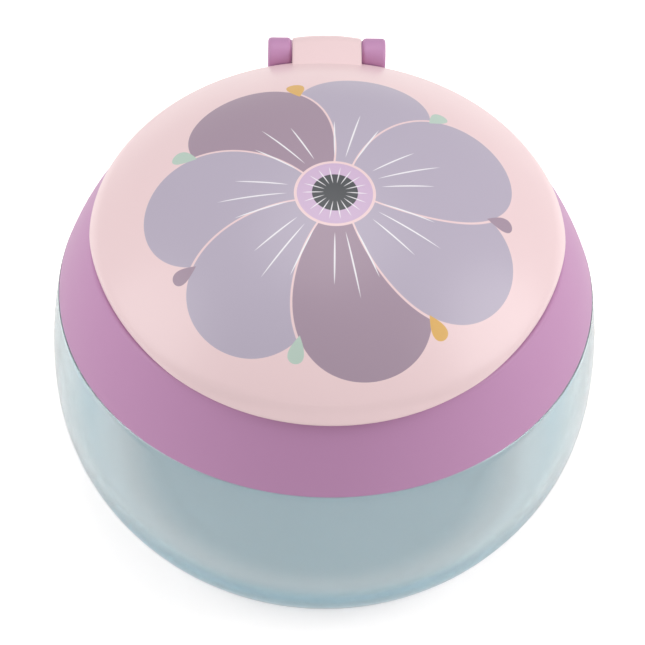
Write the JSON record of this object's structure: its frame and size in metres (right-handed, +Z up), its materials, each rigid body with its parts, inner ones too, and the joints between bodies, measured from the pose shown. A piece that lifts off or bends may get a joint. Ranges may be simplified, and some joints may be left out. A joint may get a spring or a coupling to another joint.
{
  "type": "toddler snack container",
  "caption": "Ball-shaped snack cup with a clear bowl, twist-lock collar, soft flap guard in its mouth and a domed lid on a rear hinge.",
  "frame": {"origin": "middle of the base, on the table", "axes": "+Z up through the bowl and the lid, +Y to the back where the hinge is, -Y to the front where the lid is lifted, +X to the right seen from the front"},
  "size_m": [0.1104, 0.1104, 0.085],
  "materials": {
    "bowl_plastic": "translucent pale blue moulded polypropylene, smooth",
    "collar_plastic": "fine satin, orchid purple",
    "lid_plastic": "soft gloss, pale pink, with a printed flower design",
    "guard_rubber": "soft milky thermoplastic rubber, matte",
    "pin_steel": "plain drawn stainless wire"
  },
  "bodies": {
    "bowl": {"bowl": "bowl_plastic"},
    "collar": {"collar": "collar_plastic", "hinge_pin": "pin_steel", "guard_rim": "guard_rubber", "guard_clamp": "collar_plastic"},
    "lid": {"lid": "lid_plastic"},
    "flap_1": {"flap_1": "guard_rubber"},
    "flap_2": {"flap_2": "guard_rubber"},
    "flap_3": {"flap_3": "guard_rubber"},
    "flap_4": {"flap_4": "guard_rubber"},
    "flap_5": {"flap_5": "guard_rubber"},
    "flap_6": {"flap_6": "guard_rubber"}
  },
  "joints": [
    {"name": "collar_twist", "type": "hinge", "parent": "bowl", "child": "collar", "pos_m": [0, 0, 0.048], "axis": [0, 0, 1], "range_deg": [0, 40]},
    {"name": "lid_hinge", "type": "hinge", "parent": "collar", "child": "lid", "pos_m": [0, 0.0498, 0.0659], "axis": [-1, 0, 0], "range_deg": [0, 115]},
    {"name": "flap_1_bend", "type": "hinge", "parent": "collar", "child": "flap_1", "pos_m": [0, -0.027, 0.0613], "axis": [-1, 0, 0], "range_deg": [-45, 70], "stiffness_Nm_per_rad": 0.004},
    {"name": "flap_2_bend", "type": "hinge", "parent": "collar", "child": "flap_2", "pos_m": [0.02338, -0.0135, 0.0613], "axis": [-0.5, -0.866, 0], "range_deg": [-45, 70], "stiffness_Nm_per_rad": 0.004},
    {"name": "flap_3_bend", "type": "hinge", "parent": "collar", "child": "flap_3", "pos_m": [0.02338, 0.0135, 0.0613], "axis": [0.5, -0.866, 0], "range_deg": [-45, 70], "stiffness_Nm_per_rad": 0.004},
    {"name": "flap_4_bend", "type": "hinge", "parent": "collar", "child": "flap_4", "pos_m": [0, 0.027, 0.0613], "axis": [1, 0, 0], "range_deg": [-45, 70], "stiffness_Nm_per_rad": 0.004},
    {"name": "flap_5_bend", "type": "hinge", "parent": "collar", "child": "flap_5", "pos_m": [-0.02338, 0.0135, 0.0613], "axis": [0.5, 0.866, 0], "range_deg": [-45, 70], "stiffness_Nm_per_rad": 0.004},
    {"name": "flap_6_bend", "type": "hinge", "parent": "collar", "child": "flap_6", "pos_m": [-0.02338, -0.0135, 0.0613], "axis": [-0.5, 0.866, 0], "range_deg": [-45, 70], "stiffness_Nm_per_rad": 0.004}
  ]
}
